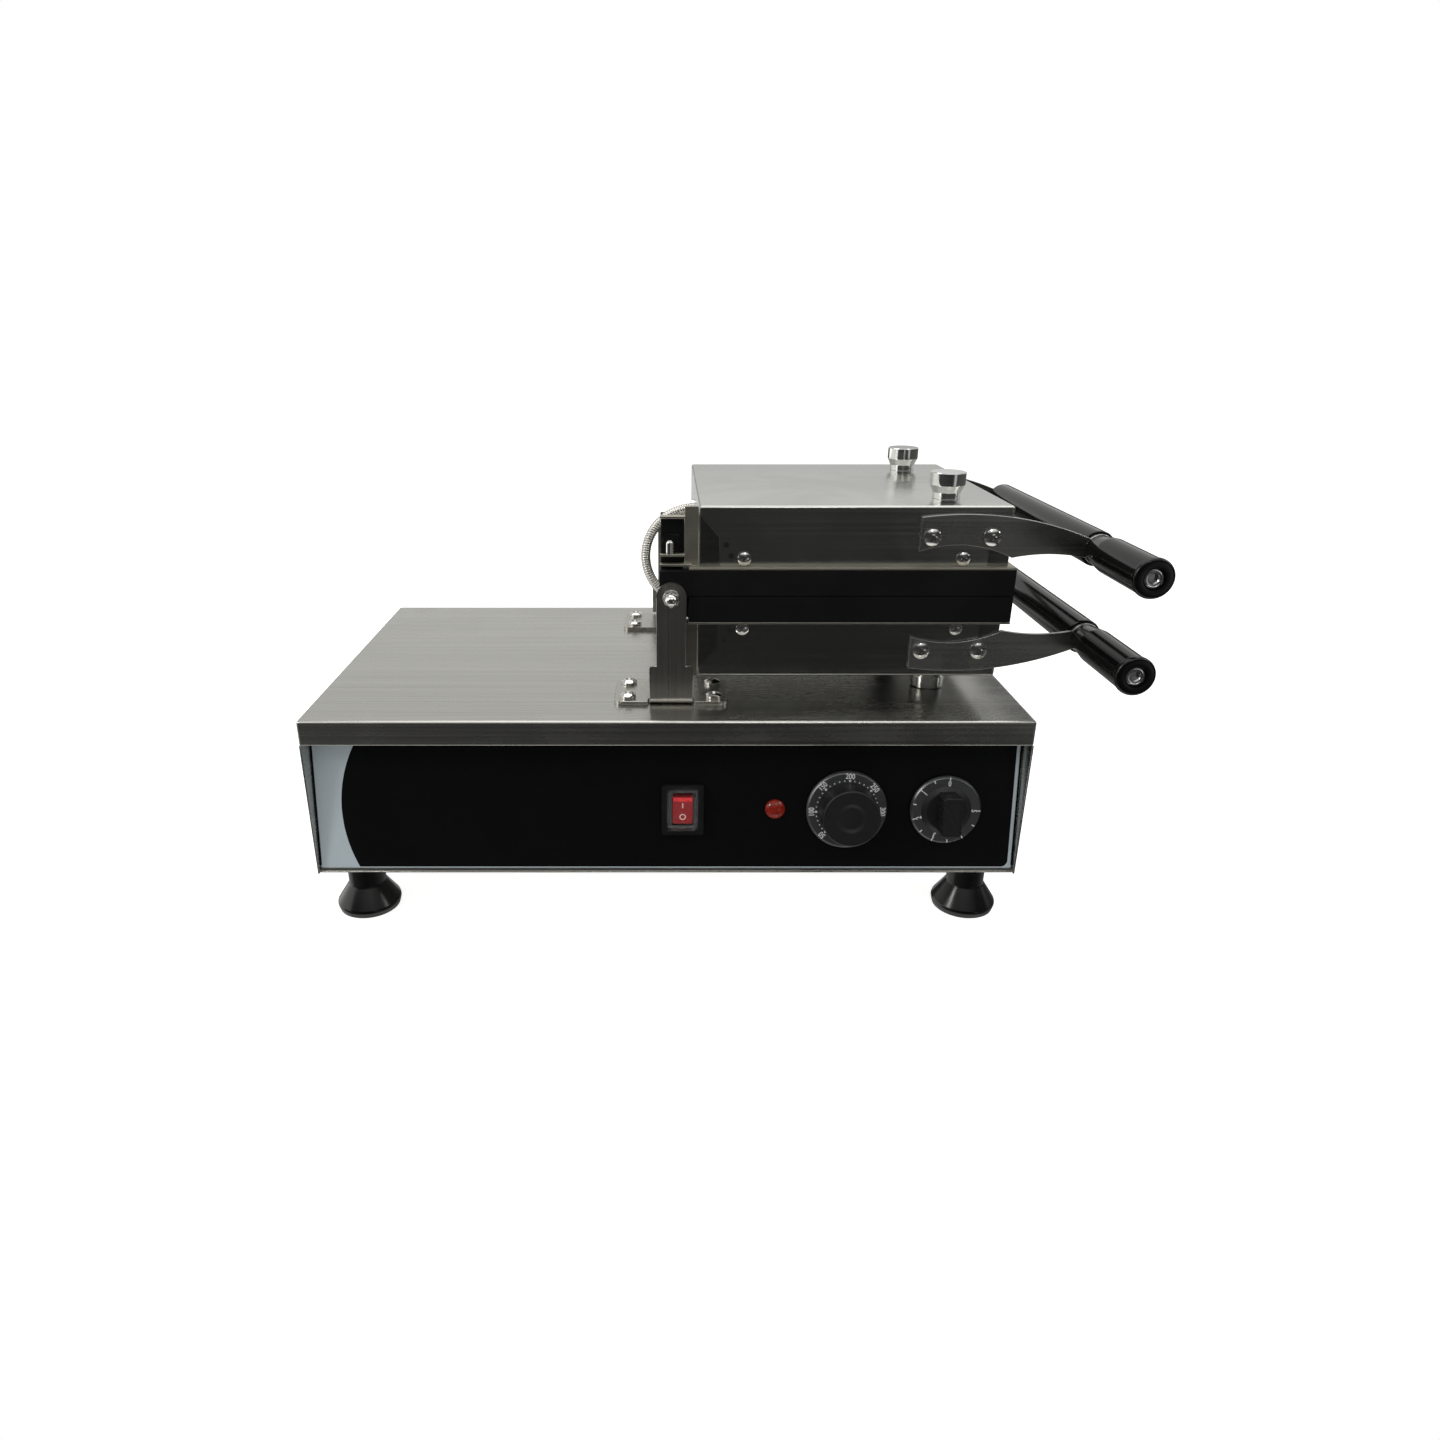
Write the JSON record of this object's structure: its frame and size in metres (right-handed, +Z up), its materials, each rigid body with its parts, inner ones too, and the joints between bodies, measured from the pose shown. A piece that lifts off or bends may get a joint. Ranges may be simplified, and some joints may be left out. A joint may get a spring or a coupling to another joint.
{
  "type": "waffle cone maker",
  "caption": "Turn-over waffle cone iron: hinged square plates with long handles over a low steel base with dials, switch and lamp.",
  "frame": {"origin": "on the floor, under the middle of the whole machine's box, closed and standing on its four feet", "axes": "+X to the operator's right, along the base; +Y to the rear; +Z up"},
  "size_m": [0.5848, 0.3646, 0.3318],
  "materials": {
    "brushed_sheet": "brushed stainless sheet, satin",
    "dark_brushed": "brushed stainless sheet that stands upright and looks darker",
    "bright_fastener": "bright plated steel",
    "turned_steel": "turned bright steel",
    "cast_black": "black coated casting, fine grain",
    "panel_film": "matt black printed film",
    "panel_steel": "brushed stainless sheet",
    "foot_black": "glossy black moulded plastic",
    "knob_black": "satin black moulded plastic",
    "grip_black": "semi-gloss black moulded plastic",
    "switch_black": "black moulded plastic",
    "rocker_red": "translucent red plastic",
    "clear_boot": "clear soft cap",
    "lamp_red": "red lens",
    "control_body": "pale moulded housing",
    "inner_nylon": "black nylon",
    "heater_sheath": "heat-darkened steel tube",
    "blanket": "white ceramic fibre blanket",
    "conduit": "wound bright metal hose"
  },
  "bodies": {
    "base": {"base_top": "brushed_sheet", "left_side_panel": "brushed_sheet", "right_side_panel": "brushed_sheet", "rear_panel": "brushed_sheet", "bottom_plate": "brushed_sheet", "case_screws": "bright_fastener", "control_panel": "panel_steel", "panel_film": "panel_film", "feet": "foot_black", "foot_studs": "turned_steel", "switch_body": "switch_black", "switch_boot": "clear_boot", "lamp_housing": "inner_nylon", "heat_lamp": "lamp_red", "thermostat": "control_body", "timer": "control_body", "terminal_block": "control_body", "cable_gland": "inner_nylon", "front_bracket": "dark_brushed", "rear_bracket": "dark_brushed", "bracket_screws": "bright_fastener", "bracket_nuts": "bright_fastener", "pivot_bolts": "bright_fastener", "pivot_nuts": "bright_fastener", "pivot_washers": "bright_fastener", "feed_conduit": "conduit"},
    "temperature_dial": {"temperature_knob": "knob_black", "temperature_shaft": "turned_steel"},
    "timer_dial": {"timer_knob": "knob_black", "timer_shaft": "turned_steel"},
    "rocker": {"power_rocker": "rocker_red"},
    "lower_iron": {"lower_plate": "cast_black", "lower_mounting_sheet": "brushed_sheet", "lower_cover": "dark_brushed", "lower_heater": "heater_sheath", "lower_insulation": "blanket", "lower_cover_screws": "bright_fastener", "lower_arms": "dark_brushed", "lower_arm_screws": "bright_fastener", "lower_middle_grip": "grip_black", "lower_front_grip": "grip_black", "lower_handle_bolt": "turned_steel", "lower_posts": "turned_steel", "lower_stop_pin": "turned_steel", "lower_conduit_fittings": "bright_fastener", "hinge_conduit": "conduit"},
    "upper_iron": {"upper_plate": "cast_black", "upper_mounting_sheet": "brushed_sheet", "upper_cover": "dark_brushed", "upper_heater": "heater_sheath", "upper_insulation": "blanket", "upper_cover_screws": "bright_fastener", "upper_arms": "dark_brushed", "upper_arm_screws": "bright_fastener", "upper_middle_grip": "grip_black", "upper_front_grip": "grip_black", "upper_handle_bolt": "turned_steel", "upper_posts": "turned_steel", "upper_stop_pin": "turned_steel", "upper_conduit_fitting": "bright_fastener"}
  },
  "joints": [
    {"name": "turn_over", "type": "hinge", "parent": "base", "child": "lower_iron", "pos_m": [-0.02392, 0.0138, 0.25], "axis": [0, -1, 0], "range_deg": [0, 180], "deforming": ["feed_conduit"]},
    {"name": "open_irons", "type": "hinge", "parent": "lower_iron", "child": "upper_iron", "pos_m": [-0.02392, 0.0138, 0.25], "axis": [0, 1, 0], "range_deg": [-105, 0], "deforming": ["hinge_conduit"]},
    {"name": "set_temperature", "type": "hinge", "parent": "base", "child": "temperature_dial", "pos_m": [0.10758, -0.13206, 0.09398], "axis": [0, 0.9888, -0.1493], "range_deg": [-90, 175]},
    {"name": "set_timer", "type": "hinge", "parent": "base", "child": "timer_dial", "pos_m": [0.18157, -0.13206, 0.09398], "axis": [0, 0.9888, -0.1493], "range_deg": [0, 268]},
    {"name": "switch_power", "type": "hinge", "parent": "base", "child": "rocker", "pos_m": [-0.01512, -0.12949, 0.09359], "axis": [-1, 0, 0], "range_deg": [0, 20]}
  ]
}
